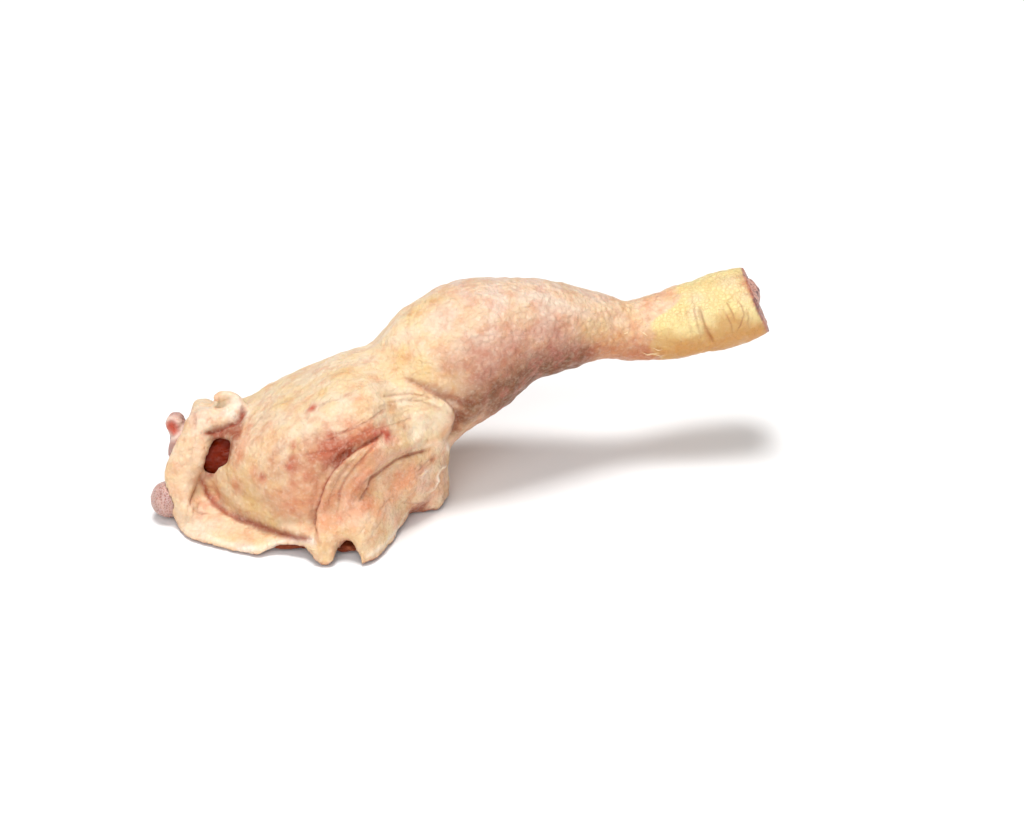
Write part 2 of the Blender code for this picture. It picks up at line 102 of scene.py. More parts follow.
def fine_mesh(node, grain, easing):
    """Points and triangles of a solid's shape, made fine and with its facets eased away."""
    rough = bpy.data.objects.new("rough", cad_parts[node].data.copy())
    bpy.context.scene.collection.objects.link(rough)
    rough.modifiers.new("grain", "REMESH").voxel_size = grain
    shape = rough.evaluated_get(bpy.context.evaluated_depsgraph_get())
    mesh = shape.to_mesh()
    points = np.empty(len(mesh.vertices) * 3)
    mesh.vertices.foreach_get("co", points)
    corners = np.empty(len(mesh.loops), int)
    mesh.loops.foreach_get("vertex_index", corners)
    shape.to_mesh_clear()
    bpy.data.objects.remove(rough)
    squares = corners.reshape(-1, 4)
    points = eased(points.reshape(-1, 3), squares, easing)
    return points, np.concatenate([squares[:, [0, 1, 2]], squares[:, [0, 2, 3]]])


def eased(points, squares, rounds):
    """The points drawn to their neighbours and pushed back again, so that nothing shrinks."""
    ends = np.concatenate([squares[:, (k, (k + 1) % 4)] for k in range(4)])
    count = np.bincount(ends[:, 0], minlength=len(points))
    for _ in range(rounds):
        for pull in (DRAW_IN, PUSH_OUT):
            near = [
                np.bincount(ends[:, 0], points[ends[:, 1], axis], len(points)) / count
                for axis in range(3)
            ]
            points = points + pull * (np.stack(near, 1) - points)
    return points


def split(points, faces, chosen):
    """The chosen triangles cut into four, and their neighbours cut to meet them."""
    ends = np.sort(faces[:, [[0, 1], [1, 2], [2, 0]]], axis=2)
    keys = ends[..., 0] * len(points) + ends[..., 1]
    cut = np.unique(keys[chosen])
    halved = np.isin(keys, cut)
    middle = np.where(halved, len(points) + np.searchsorted(cut, keys), -1)
    added = (points[cut // len(points)] + points[cut % len(points)]) / 2
    made = []
    for turn in range(3):
        order = [turn, (turn + 1) % 3, (turn + 2) % 3]
        a, b, c = faces[:, order].T
        ab, bc, ca = middle[:, order].T
        cuts = halved[:, order]
        one = cuts[:, 0] & ~cuts[:, 1] & ~cuts[:, 2]
        two = cuts[:, 0] & cuts[:, 1] & ~cuts[:, 2]
        kinds = [(one, (a, ab, c)), (one, (ab, b, c))]
        kinds += [(two, (a, ab, c)), (two, (ab, bc, c)), (two, (ab, b, bc))]
        if turn == 0:
            whole, none = cuts.all(1), ~cuts.any(1)
            kinds += [(whole, (a, ab, ca)), (whole, (ab, b, bc)), (whole, (ca, bc, c))]
            kinds += [(whole, (ab, bc, ca)), (none, (a, b, c))]
        made += [np.stack(corners, 1)[which] for which, corners in kinds]
    return np.concatenate([points, added]), np.concatenate(made)


def outward(points, faces):
    """The direction in which a surface faces at each point."""
    a, b, c = (points[faces[:, k]] for k in range(3))
    facing = np.cross(b - a, c - a)
    total = np.zeros_like(points)
    for k in range(3):
        for axis in range(3):
            total[:, axis] += np.bincount(faces[:, k], facing[:, axis], len(points))
    return total / np.maximum(np.linalg.norm(total, axis=1, keepdims=True), 1e-12)


def unevenness(points, size, place):
    """Soft noise between about -1 and 1, its lumps of the given size."""
    return np.array([noise.noise(Vector(p) / size + Vector((place, 0, 0))) for p in points])


def ramp(value, start, end):
    """Rises smoothly from 0 to 1 as the value goes from start to end."""
    t = np.clip((value - start) / (end - start), 0, 1)
    return t * t * (3 - 2 * t)


def linear(red, green, blue):
    """A colour given as it looks, from 0 to 255, as amounts of light."""
    return np.array([(v / 255) ** 2.2 for v in (red, green, blue)])


def lay(tone, colour, share):
    """A colour mixed into others by the share given at each point."""
    share = np.clip(share, 0, 1)[:, None]
    return tone * (1 - share) + colour * share


def tree_of(points, faces):
    """A surface that lines of sight can be cast on."""
    return BVHTree.FromPolygons(points.tolist(), faces.tolist())


# A line is followed by single steps of the picture. A step that jumps further than this, onto
# another part of the surface, is left out.
LINE_STEP = 1.0
LINE_JUMP = 0.006


def line_on(tree, spots):
    """The places of a line on a surface, less than half a millimetre apart, and how it faces."""
    spots = np.array(spots, float)
    steps = np.concatenate([[0], np.cumsum(np.linalg.norm(np.diff(spots, axis=0), axis=1))])
    along = np.arange(0, steps[-1], LINE_STEP)
    found = []
    for across, down in zip(
        np.interp(along, steps, spots[:, 0]), np.interp(along, steps, spots[:, 1])
    ):
        where, facing, _, _ = tree.ray_cast(eye, sight(across, down))
        if where is not None and (not found or (where - found[-1][0]).length < LINE_JUMP):
            found.append((where, facing))
    return np.array([p for p, _ in found]), np.array([n for _, n in found])


# Points are compared with a line so many at a time. Those on the far side of a thin sheet, which
# face otherwise, are left out.
BATCH = 4000
FACING_OTHERWISE = -0.2


def beside(points, normals, line, facing, reach):
    """Points near a line: which, how far to its left, and how far from its nearer end."""
    low, high = line.min(0) - reach, line.max(0) + reach
    which = np.nonzero(((points > low) & (points < high)).all(1))[0]
    nearest = np.empty(len(which), int)
    for start in range(0, len(which), BATCH):
        part = which[start : start + BATCH]
        nearest[start : start + BATCH] = ((points[part, None] - line[None]) ** 2).sum(2).argmin(1)
    gap = points[which] - line[nearest]
    course = np.gradient(line, axis=0)
    course /= np.linalg.norm(course, axis=1, keepdims=True)
    left = np.cross(facing, course)
    level = gap - facing[nearest] * (gap * facing[nearest]).sum(1)[:, None]
    away = np.linalg.norm(level, axis=1)
    side = np.where((gap * left[nearest]).sum(1) < 0, -1.0, 1.0)
    run = np.concatenate([[0], np.cumsum(np.linalg.norm(np.diff(line, axis=0), axis=1))])
    alike = (normals[which] * facing[nearest]).sum(1)
    keep = (np.linalg.norm(gap, axis=1) < reach) & (alike > FACING_OTHERWISE)
    return which[keep], (side * away)[keep], np.minimum(run, run[-1] - run)[nearest][keep]


SOFT_ALL_WITHIN = 0.6
SOFT_PULL = 0.5


def softened(points, faces, middle, radius, rounds):
    """The points round a place drawn to their neighbours, so that a sharp cut there turns soft."""
    away = np.linalg.norm(points - middle, axis=1)
    share = ramp(-away, -radius, -SOFT_ALL_WITHIN * radius)[:, None]
    ends = np.concatenate([faces[:, (k, (k + 1) % 3)] for k in range(3)])
    count = np.maximum(np.bincount(ends[:, 0], minlength=len(points)), 1)
    for _ in range(rounds):
        near = [
            np.bincount(ends[:, 0], points[ends[:, 1], axis], len(points)) / count
            for axis in range(3)
        ]
        points = points + SOFT_PULL * share * (np.stack(near, 1) - points)
    return points


skin_points, skin_faces = fine_mesh("leg", SKIN_GRAIN, SKIN_EASING)
skin_tree = tree_of(skin_points, skin_faces)

# The gap beside the rolled skin is torn, not cut, so its edge is soft
GAP_FOOT = (206, 470)
GAP_FOOT_TO_MIDDLE = np.array([0.005, 0, 0.006])
GAP_RADIUS = 0.012
GAP_ROUNDS = 14

gap_foot = np.array(skin_tree.ray_cast(eye, sight(*GAP_FOOT))[0])
gap_middle = gap_foot + GAP_FOOT_TO_MIDDLE
skin_points = softened(skin_points, skin_faces, gap_middle, GAP_RADIUS, GAP_ROUNDS)
skin_tree = tree_of(skin_points, skin_faces)

# Creases pressed into the skin: depth and half width in millimetres, how far the skin stands up
# on the left hand of the line and on its right, how brown it is inside (painted shade in the
# fold), and the line. A ridge has a depth below 0, and a pale line has a brown below 0.
CREASES = (
    ("long fold", 0.88, 0.60, 0.5, 0.0, 0.9, (
        (384, 434), (376, 439), (369, 443), (351, 453), (343, 460), (332, 471), (325, 484),
        (320, 498), (316.5, 511), (315.5, 522), (317, 536),
    )),
    ("fold mouth", 0.80, 1.14, 0.2, 0.0, 1.0, ((356, 448), (350, 452), (344, 457), (339, 461))),
    ("inner fold", 0.40, 0.48, 0.25, 0.0, 0.5, (
        (377, 443), (366, 455), (356, 466), (346, 478), (340, 491), (338, 508),
    )),
    ("thin fold", 0.24, 0.42, 0.1, 0.0, 0.3, (
        (366, 448), (352, 462), (340, 476), (331, 494), (327, 512),
    )),
    ("upper fold", 0.72, 0.60, 0.0, 0.5, 0.75, (
        (428, 450), (419, 452), (410, 454), (397, 459), (386, 467), (378, 473), (371, 478),
        (367, 489), (358, 502),
    )),
    ("short fold", 0.40, 0.54, 0.25, 0.0, 0.5, (
        (388, 408), (380, 413), (369, 421), (358, 426), (345, 432), (325, 436),
    )),
    ("side fold", 0.28, 0.48, 0.15, 0.0, 0.3, (
        (414, 417), (400, 423), (390, 426), (372, 431), (362, 437),
    )),
    ("low fold", 0.28, 0.48, 0.15, 0.0, 0.35, ((396, 494), (386, 502), (379, 512), (376, 522))),
    ("lobe fold", 0.28, 0.48, 0.2, 0.1, 0.35, ((437, 457), (428, 461), (421, 469), (414, 472))),
    ("lobe ridge", -0.8, 0.60, 0.0, 0.0, -0.9, (
        (446, 465), (440, 469), (437, 475), (438, 481), (434, 488), (427, 494),
    )),
    ("lobe ridge", -0.8, 0.70, 0.0, 0.0, -0.8, ((430, 468), (424, 473), (420, 480))),
    ("lobe rim", -0.5, 0.80, 0.0, 0.0, -0.7, (
        (445, 441), (448, 450), (450, 461), (451, 472), (449, 484), (446, 494),
    )),
    ("lobe rim", -0.4, 0.80, 0.0, 0.0, -0.6, ((421, 448), (430, 444), (438, 441.5), (445, 441))),
    ("low rim", -0.3, 0.80, 0.0, 0.0, -0.6, (
        (410, 509), (404, 516), (400, 525), (393, 534), (384, 544), (372, 554), (364, 557),
    )),
    ("hem rim", -0.5, 1.20, 0.0, 0.0, -0.8, (
        (202, 533), (220, 542), (240, 547.5), (258, 549.5), (272, 545), (286, 540), (300, 540),
        (312, 541), (318, 546),
    )),
    ("lobe foot", 0.32, 0.48, 0.2, 0.0, 0.3, (
        (400, 502), (412, 503.5), (421, 503.5), (431, 501.5),
    )),
    ("knee fold", 0.72, 0.96, 0.35, 0.0, 0.5, (
        (404, 378), (411, 381), (418, 384), (430, 391), (440, 395), (449, 398), (464, 401),
        (482, 402),
    )),
    ("knee edge", 0.80, 0.84, 0.3, 0.0, 0.45, (
        (447, 440), (453, 432), (456.5, 425), (457.5, 418), (456, 411), (452, 405), (446, 400),
        (438, 396.5),
    )),
    ("knee line", 0.28, 0.48, 0.15, 0.0, 0.35, (
        (380, 397), (395, 395), (410, 394), (424, 396), (434, 399),
    )),
    ("knee line", 0.24, 0.48, 0.1, 0.0, 0.25, ((408, 386), (420, 389), (432, 394), (444, 401))),
    ("knee line", 0.20, 0.48, 0.1, 0.0, 0.2, (
        (386, 403), (402, 400), (418, 401), (434, 406), (446, 413),
    )),
    ("mouth fold", 0.88, 1.14, 0.25, 0.0, 0.85, (
        (201, 474), (202, 481), (206, 490), (214, 502), (227, 513), (242, 519), (260, 526),
        (279, 533), (297, 538), (314, 539),
    )),
    ("band line", 0.48, 0.54, 0.0, 0.2, 0.65, (
        (200, 480), (196, 488), (193, 496), (191, 503), (192, 509),
    )),
    ("band foot", 0.24, 0.54, 0.0, 0.1, 0.4, ((192, 509), (202, 513), (214, 514))),
    ("band wrinkle", 0.20, 0.60, 0.0, 0.1, 0.25, ((183, 449), (190, 450), (197, 449))),
    ("curl edge", 0.88, 0.78, 0.0, 0.5, 0.9, (
        (200, 434), (213, 433), (222, 430.5), (228, 427), (236, 424.5), (241, 419), (244, 412),
        (243, 404),
    )),
    ("curl crease", 0.48, 0.60, 0.2, 0.2, 0.4, ((191, 409), (194, 413), (195, 420), (196, 428))),
    ("shade line", 0.32, 0.60, 0.0, 0.2, 0.4, (
        (300, 456), (318, 453), (334, 451), (346, 446), (352, 440),
    )),
    ("shade line", 0.20, 0.60, 0.1, 0.0, 0.25, ((296, 444), (300, 452), (303, 459))),
    ("hock fold", 0.64, 0.72, 0.35, 0.1, 0.40, (
        (699, 305), (700, 312), (702, 320), (706, 329), (710, 337), (714, 344),
    )),
    ("hock line", 0.32, 0.48, 0.2, 0.0, 0.35, ((694, 302), (695, 314), (698, 327), (702, 340))),
    ("hock line", 0.16, 0.48, 0.1, 0.0, 0.15, ((686, 306), (688, 318), (691, 330), (694, 342))),
    ("hock thread", 0.25, 0.28, 0.1, 0.0, 0.5, (
        (729, 297), (727, 303), (731, 310), (734, 317), (734, 323),
    )),
    ("hock thread", 0.25, 0.28, 0.1, 0.0, 0.5, (
        (736, 299), (741, 305), (744, 314), (741, 325), (736, 333),
    )),
    ("hock thread", 0.2, 0.28, 0.1, 0.0, 0.4, ((722, 308), (727, 316), (731, 324), (733, 334))),
    ("hock thread", 0.2, 0.28, 0.1, 0.0, 0.3, ((746, 307), (749, 318), (746, 330))),
    ("hock mark", 0.1, 0.45, 0.0, 0.0, 0.6, ((729, 296.5), (734, 297))),
)

# The mesh is cut finer twice, within these reaches of a crease. Its valley is narrow on a wide
# dip, the skin stands up beside it, and it runs out towards its ends.
FINER_WITHIN = (0.0020, 0.0006)
CREASE_REACH = 0.008
CREASE_RUN_OUT = 0.0035
NARROW_PART = 0.65
WIDE_PART = 0.35
WIDE_DIP = 3
RISE_AT = 1.6
RISE_SPREAD = 2.2
STAIN_NARROWNESS = 0.75

courses = [line_on(skin_tree, spots) for *_, spots in CREASES]
for reach in FINER_WITHIN:
    skin_normals = outward(skin_points, skin_faces)
    close = np.zeros(len(skin_points), bool)
    for line, facing in courses:
        close[beside(skin_points, skin_normals, line, facing, reach)[0]] = True
    skin_points, skin_faces = split(skin_points, skin_faces, close[skin_faces].any(1))

skin_normals = outward(skin_points, skin_faces)
level_up = skin_normals[:, 2]
crease_shade_mask = np.zeros(len(skin_points))
pale_mask = np.zeros(len(skin_points))
pressed = np.zeros(len(skin_points))
for (_, depth, half, left_rise, right_rise, brown, _), (line, facing) in zip(CREASES, courses):
    which, across, inside = beside(skin_points, skin_normals, line, facing, CREASE_REACH)
    wide = across / (half / 1000)
    fade = np.clip(inside / CREASE_RUN_OUT, 0, 1) ** 0.7
    valley = NARROW_PART * np.exp(-(wide ** 2)) + WIDE_PART * np.exp(-((wide / WIDE_DIP) ** 2))
    left = np.exp(-(((wide - RISE_AT) / RISE_SPREAD) ** 2)) * (wide > 0)
    right = np.exp(-(((wide + RISE_AT) / RISE_SPREAD) ** 2)) * (wide < 0)
    pressed[which] += fade * (left_rise * left + right_rise * right - depth * valley) / 1000
    stained = fade * abs(brown) * np.exp(-((wide * STAIN_NARROWNESS) ** 2))
    mask = crease_shade_mask if brown > 0 else pale_mask
    mask[which] = np.maximum(mask[which], stained)

# Unevenness of fat and muscle under the skin: height, size of a lump, place in the noise
SKIN_LUMPS = ((0.00045, 0.0065, 2.0), (0.00028, 0.0028, 7.0))

skin_lumps = sum(high * unevenness(skin_points, size, place) for high, size, place in SKIN_LUMPS)

# Fine wrinkles: the run of the lines in degrees, how long and how far apart they are, their
# depth, how brown they are (painted shade in the wrinkle), and where they lie: across, down, and
# reach to the side and up
WRINKLES = (
    (28, 0.020, 0.0036, 0.00022, 0.30, (330, 430, 0.034, 0.020)),
    (62, 0.016, 0.0034, 0.00025, 0.25, (360, 500, 0.016, 0.024)),
    (8, 0.014, 0.0026, 0.00020, 0.25, (420, 400, 0.018, 0.010)),
    (-20, 0.018, 0.0036, 0.00016, 0.18, (260, 490, 0.026, 0.016)),
    (40, 0.010, 0.0030, 0.00022, 0.20, (432, 478, 0.010, 0.014)),
    (20, 0.016, 0.0034, 0.00014, 0.14, (520, 340, 0.050, 0.026)),
    (78, 0.012, 0.0022, 0.00012, 0.14, (708, 312, 0.020, 0.016)),
    (75, 0.012, 0.0040, 0.00035, 0.12, (188, 470, 0.010, 0.034)),
    (-12, 0.010, 0.0040, 0.00035, 0.12, (245, 540, 0.034, 0.008)),
)
WRINKLE_EDGE = 0.10
WRINKLE_SWELL = 1.3
FAINTEST = 0.02

sheet_up = np.array([0, math.sin(VIEW_RISE), math.cos(VIEW_RISE)])
height_up = skin_points @ sheet_up
depth_in = skin_points @ np.array([0, math.cos(VIEW_RISE), -math.sin(VIEW_RISE)])
for number, (run, long, apart, depth, brown, (across, down, wide, tall)) in enumerate(WRINKLES):
    middle = np.array(skin_tree.ray_cast(eye, sight(across, down))[0])
    share = np.exp(
        -(((skin_points[:, 0] - middle[0]) / wide) ** 4)
        - ((height_up - middle @ sheet_up) / tall) ** 4
    )
    there = np.nonzero(share > FAINTEST)[0]
    turn = math.radians(run)
    along = skin_points[there, 0] * math.cos(turn) + height_up[there] * math.sin(turn)
    over = height_up[there] * math.cos(turn) - skin_points[there, 0] * math.sin(turn)
    places = np.column_stack([along / long, over / apart, depth_in[there] / long])
    shift = Vector((number * 5.0, 0, 0))
    swing = np.array([noise.noise(Vector(p) + shift) for p in places])
    shift = Vector((0, number * 7.0, 3.0))
    strong = np.array([noise.noise(Vector(p) * 0.6 + shift) for p in places])
    line = np.exp(-((swing / WRINKLE_EDGE) ** 2)) * ramp(strong, -0.15, 0.35) * share[there]
    skin_lumps[there] += depth * (WRINKLE_SWELL * swing * share[there] - line)
    crease_shade_mask[there] = np.maximum(crease_shade_mask[there], brown * line)
skin_points = skin_points + skin_normals * (pressed + skin_lumps)[:, None]
skin_normals = outward(skin_points, skin_faces)
skin_tree = tree_of(skin_points, skin_faces)

# Colours of the skin and of what shows through it, with painted light and shade, laid over each
# other in the order further down
THIGH_CREAM = linear(232, 198, 156)
THIGH_LIT_TOP = linear(238, 212, 178)
THIGH_SHADED_LOW = linear(230, 184, 152)
DRUM_LIT_TOP = linear(234, 208, 186)
DRUM_PINK = linear(226, 182, 154)
DRUM_SHADED_LOW = linear(126, 82, 50)
ANKLE = linear(240, 208, 172)
ANKLE_SHADED_LOW = linear(206, 142, 100)
HOCK_YELLOW = linear(246, 226, 162)
HOCK_ORANGE = linear(210, 154, 86)
RIM_PALE = linear(238, 210, 184)
RIM_WHITE = linear(252, 238, 224)
FLAP_PINK = linear(236, 184, 158)
PEACH = linear(250, 178, 140)
KNEE_HIGHLIGHT = linear(255, 236, 204)
FAT_PALE_AND_HIGHLIGHT = linear(242, 222, 192)
FAT_YELLOW = linear(234, 202, 142)
FAT_ORANGE = linear(228, 170, 112)
FLESH = linear(228, 156, 120)
CREASE_SHADE_BROWN = linear(156, 66, 40)
BLOOD = linear(198, 66, 44)
BLUSH = linear(190, 104, 76)
MOTTLE = linear(190, 128, 108)
SHADED = linear(148, 64, 32)

# Edges between colours wander in broad and in narrow bends. The next three say where along the
# leg the drumstick's colour begins and is complete, then the ankle's, and where the calf ends.
BROAD_BENDS = 0.012
NARROW_BENDS = 0.004
LIMB_FROM_TO = (0.008, 0.034)
ANKLE_FROM_TO = (0.050, 0.068)
CALF_END_FROM_TO = (0.046, 0.062)

x, y, z = skin_points.T
drift = unevenness(skin_points, BROAD_BENDS, 11.0)
wander = unevenness(skin_points, NARROW_BENDS, 17.0)
tone = np.tile(THIGH_CREAM, (len(skin_points), 1))
# Painted light and shade: the thigh is painted paler where it faces up and darker where it faces
# down
tone = lay(tone, THIGH_LIT_TOP, ramp(level_up + 0.25 * drift, 0.3, 0.9))
tone = lay(tone, THIGH_SHADED_LOW, ramp(-level_up + 0.25 * drift, -0.25, 0.5))

# The drumstick begins past the knee. It is pinker. Its paler top is painted light, and its browner
# underside, darkest on the side that faces the front, is painted shade; so is the ankle's
# underside.
on_limb = ramp(x + 0.35 * z + 0.006 * drift, *LIMB_FROM_TO)
tone = lay(tone, DRUM_PINK, on_limb)
tone = lay(tone, DRUM_LIT_TOP, on_limb * ramp(level_up + 0.2 * drift, 0.25, 0.85))
tone = lay(tone, ANKLE, ramp(x + 0.004 * drift, *ANKLE_FROM_TO))
past_calf = ramp(x, *CALF_END_FROM_TO)
underneath = on_limb * ramp(-level_up + 0.1 * drift, -0.35, 0.30)
underneath *= 0.4 + 0.6 * ramp(-skin_normals[:, 1], -0.5, 0.2)
tone = lay(tone, DRUM_SHADED_LOW, underneath * (1 - past_calf))
tone = lay(tone, ANKLE_SHADED_LOW, underneath * past_calf)

# The hock's yellow begins at a fairly sharp edge, which lies further out on top and underneath
HOCK_EDGE = 0.0748
HOCK_EDGE_BLUR = 0.0022
hock_edge = HOCK_EDGE + 0.011 * ramp(level_up, 0.60, 0.95) + 0.005 * ramp(-level_up, 0.1, 0.6)
on_hock = ramp(x - hock_edge + 0.0020 * wander + 0.0015 * drift, 0.0, HOCK_EDGE_BLUR)
tone = lay(tone, HOCK_YELLOW, on_hock)
# The hock's underside is laid more orange and darker: partly its own colour, partly painted shade
tone = lay(tone, HOCK_ORANGE, on_hock * ramp(-level_up + 0.25 * drift, -0.35, 0.30))

# Spots and stains, and painted light and shade: colour, strength, and the places with their radius
# in millimetres
STAINS_AND_PAINTED_LIGHT = (
    (RIM_PALE, 0.9, ((190, 455, 9), (184, 490, 8), (200, 415, 9), (228, 412, 6), (200, 525, 7))),
    # Pale fat showing through the skin; on the knee and the drumstick's top it is painted
    # highlight
    (FAT_PALE_AND_HIGHLIGHT, 0.6, (
        (400, 404, 8), (430, 412, 8), (415, 432, 5), (385, 510, 5), (365, 531, 4.5), (380, 345, 9),
        (405, 330, 8),
    )),
    (FAT_PALE_AND_HIGHLIGHT, 0.6, (
        (425, 481, 4), (437, 462, 4), (436, 492, 5), (410, 497, 5), (392, 524, 5), (446, 478, 4),
        (440, 450, 4), (340, 410, 6), (285, 425, 5), (305, 425, 5),
    )),
    # Painted highlights: pale cream light on the knee lobe and on lobes of the flap
    (KNEE_HIGHLIGHT, 0.7, (
        (430, 420, 6), (440, 412, 5), (420, 428, 5), (430, 470, 4), (395, 525, 4), (446, 478, 4),
    )),
    (PEACH, 0.6, (
        (390, 500, 5), (395, 488, 4), (380, 515, 4), (405, 482, 4), (437, 455, 5), (395, 525, 4),
        (375, 450, 4), (366, 470, 4), (415, 478, 4),
    )),
    (FLAP_PINK, 0.6, (
        (430, 484, 4), (442, 482, 4), (424, 474, 3), (440, 492, 3), (432, 497, 3), (418, 488, 3),
    )),
    # Painted highlight: a pale sheen along the drumstick's top
    (FAT_PALE_AND_HIGHLIGHT, 0.4, ((470, 315, 8), (520, 300, 8), (440, 330, 8), (575, 300, 7), (560, 292, 6))),
    (FAT_YELLOW, 0.6, (
        (262, 392, 5), (246, 400, 5), (280, 382, 4), (324, 392, 3.5), (430, 300, 6), (412, 312, 5),
        (600, 326, 6), (585, 333, 4),
    )),
    (FAT_YELLOW, 0.7, (
        (258, 540, 5), (238, 536, 5), (390, 538, 4), (345, 372, 4), (400, 360, 5), (420, 372, 5),
        (270, 520, 4), (255, 503, 5), (288, 400, 5),
    )),
    (FAT_ORANGE, 0.5, (
        (322, 394, 1.6), (251, 398, 2.5), (268, 388, 2.0), (350, 368, 2.0), (405, 356, 2.5),
        (600, 340, 4), (620, 338, 4), (445, 432, 3), (388, 524, 2.2),
    )),
    (FLESH, 0.7, (
        (350, 490, 6), (352, 508, 6), (370, 505, 4), (398, 478, 5), (412, 470, 4), (376, 458, 5),
        (330, 520, 6), (362, 478, 5),
    )),
    (FLESH, 0.5, (
        (305, 485, 8), (300, 505, 8), (285, 500, 7), (320, 505, 6), (350, 425, 5), (365, 428, 4),
        (360, 400, 3), (440, 478, 4),
    )),
    (FLESH, 0.65, (
        (246, 428, 4), (243, 442, 4.5), (239, 456, 4), (254, 470, 3.5), (262, 480, 2.5),
        (236, 486, 3), (217, 496, 3), (205, 508, 2.5),
    )),
    # Painted shade: the thigh's shaded tone laid on the hem and on the middle of the thigh
    (THIGH_SHADED_LOW, 0.4, ((250, 537, 6), (236, 531, 5), (270, 440, 7), (262, 430, 5), (276, 450, 5))),
    (BLUSH, 0.35, (
        (300, 458, 5), (320, 464, 7), (275, 464, 4), (362, 438, 5), (305, 445, 4), (404, 428, 2.6),
        (394, 446, 2.5), (428, 470, 3),
    )),
    (BLUSH, 0.8, (
        (290, 466, 4.2), (325, 450, 5.5), (338, 446, 5), (348, 444, 4), (362, 437, 3.5),
        (342, 456, 3), (330, 458, 4), (432, 459, 1.8), (334, 460, 3), (262, 477, 1.6),
        (293, 447, 1.4),
    )),
    (SHADED, 0.85, (
        (350, 451, 2.2), (344, 455, 3.0), (338, 459, 2.6), (243, 417, 2.2), (239, 424, 3.0),
        (235, 430, 3.4), (233, 437, 3.4), (231, 445, 3.2), (230, 453, 2.8), (225, 463, 2.6),
        (217, 470, 2.6), (210, 474, 2.4),
    )),
    (SHADED, 0.75, ((214, 436, 2.4), (219, 435, 3.0), (224, 433.5, 3.0), (230, 431, 3.0))),
    (RIM_WHITE, 0.6, ((232, 412, 5), (236, 404, 4), (222, 404, 4))),
    (FAT_YELLOW, 0.5, ((219, 402, 1.8), (222, 403, 1.8))),
    (BLUSH, 0.3, ((335, 450, 5), (326, 455, 4), (345, 446, 4))),
    (BLOOD, 0.9, ((376, 433, 2.2), (382, 432, 2.4), (388, 436, 2.4), (312, 408, 2.4))),
    (BLOOD, 0.45, ((371, 434, 2.2), (394, 438, 1.8), (386, 442, 1.8), (289, 468, 1.8))),
    (MOTTLE, 0.5, (
        (545, 332, 6), (575, 346, 4), (560, 326, 4), (522, 345, 6), (508, 350, 6), (500, 366, 6),
        (472, 362, 6), (555, 346, 5), (480, 378, 6), (450, 364, 4),
    )),
    # Painted shade: the drumstick's underside darkened further below the knee and along the calf
    (DRUM_SHADED_LOW, 0.85, ((500, 391, 4), (515, 385, 3.5), (530, 378, 3.5), (545, 369, 3.5))),
    (DRUM_SHADED_LOW, 0.75, (
        (462, 421, 3.5), (455, 429, 3), (470, 407, 5), (486, 400, 5), (500, 391, 5),
        (515, 383, 4.5), (530, 376, 4.5), (545, 368, 4), (560, 361, 4), (464, 416, 4),
        (580, 357, 4),
    )),
    (DRUM_SHADED_LOW, 0.5, ((500, 391, 5), (512, 386, 4), (560, 360, 3.5))),
    (SHADED, 0.35, (
        (428, 387, 2.2), (436, 392, 2.4), (446, 397, 2.6), (458, 401, 3), (462, 408, 3.5),
        (590, 355, 4),
    )),
    (BLUSH, 0.25, ((655, 343, 3), (645, 346, 3), (608, 349, 3), (590, 350, 4))),
    (FLESH, 0.5, ((655, 297, 3.5), (668, 293, 2.5), (648, 306, 3), (635, 326, 3), (640, 338, 3))),
    (HOCK_ORANGE, 0.5, (
        (664, 340, 4), (676, 344, 4), (735, 318, 4), (722, 322, 4), (745, 326, 4), (712, 334, 3),
        (728, 334, 4),
    )),
    # Pale fat, and painted highlights on the knee, the curl and the top of the hock
    (FAT_PALE_AND_HIGHLIGHT, 0.55, (
        (430, 420, 5), (440, 470, 5), (388, 530, 4), (436, 452, 4), (219, 404, 3), (694, 312, 3),
        (697, 298, 4), (745, 295, 4), (730, 282, 5),
    )),
    (MOTTLE, 0.6, ((741, 276, 2.4), (746, 284, 2.4), (751, 293, 2.2), (755, 303, 2.0))),
    (BLOOD, 0.4, ((744, 283, 1.6), (749, 290, 1.4), (756, 302, 1.4))),
)
ragged = 1 + 0.45 * wander + 0.25 * drift
for colour, strength, places in STAINS_AND_PAINTED_LIGHT:
    for across, down, radius in places:
        middle = skin_tree.ray_cast(eye, sight(across, down))[0]
        away = np.linalg.norm(skin_points - np.array(middle), axis=1) * 1000 * ragged
        tone = lay(tone, colour, strength * np.exp(-((away / radius) ** 2)))

# The cut face of the hock shows pink tissue under the skin, with dark clotted streaks. It is
# given by a place on it and by the way it faces.
HOCK_CUT = np.array((0.12176, 0.04404, 0.0620))
HOCK_CUT_WAY = np.array((0.913, 0.059, 0.403))
CUT_PINK = linear(206, 134, 112)
CUT_CLOT = linear(128, 74, 76)
beyond = (skin_points - HOCK_CUT) @ HOCK_CUT_WAY
on_cut = ramp(beyond + 0.0003 * wander, -0.0011, -0.0005)
streaks = unevenness(skin_points, 0.0016, 51.0)
tone = lay(tone, CUT_PINK, on_cut)
tone = lay(tone, CUT_CLOT, on_cut * ramp(streaks + 0.6 * wander, 0.05, 0.4))
on_hock = on_hock * (1 - on_cut)

# Painted shade under the skirt of loose skin: where it faces down near the table it is painted
# dark brown
under_skirt = ramp(-level_up, 0.1, 0.5) * ramp(-z, -0.016, -0.008) * ramp(-y, 0.0, 0.02)
tone = lay(tone, SHADED, 0.8 * under_skirt)

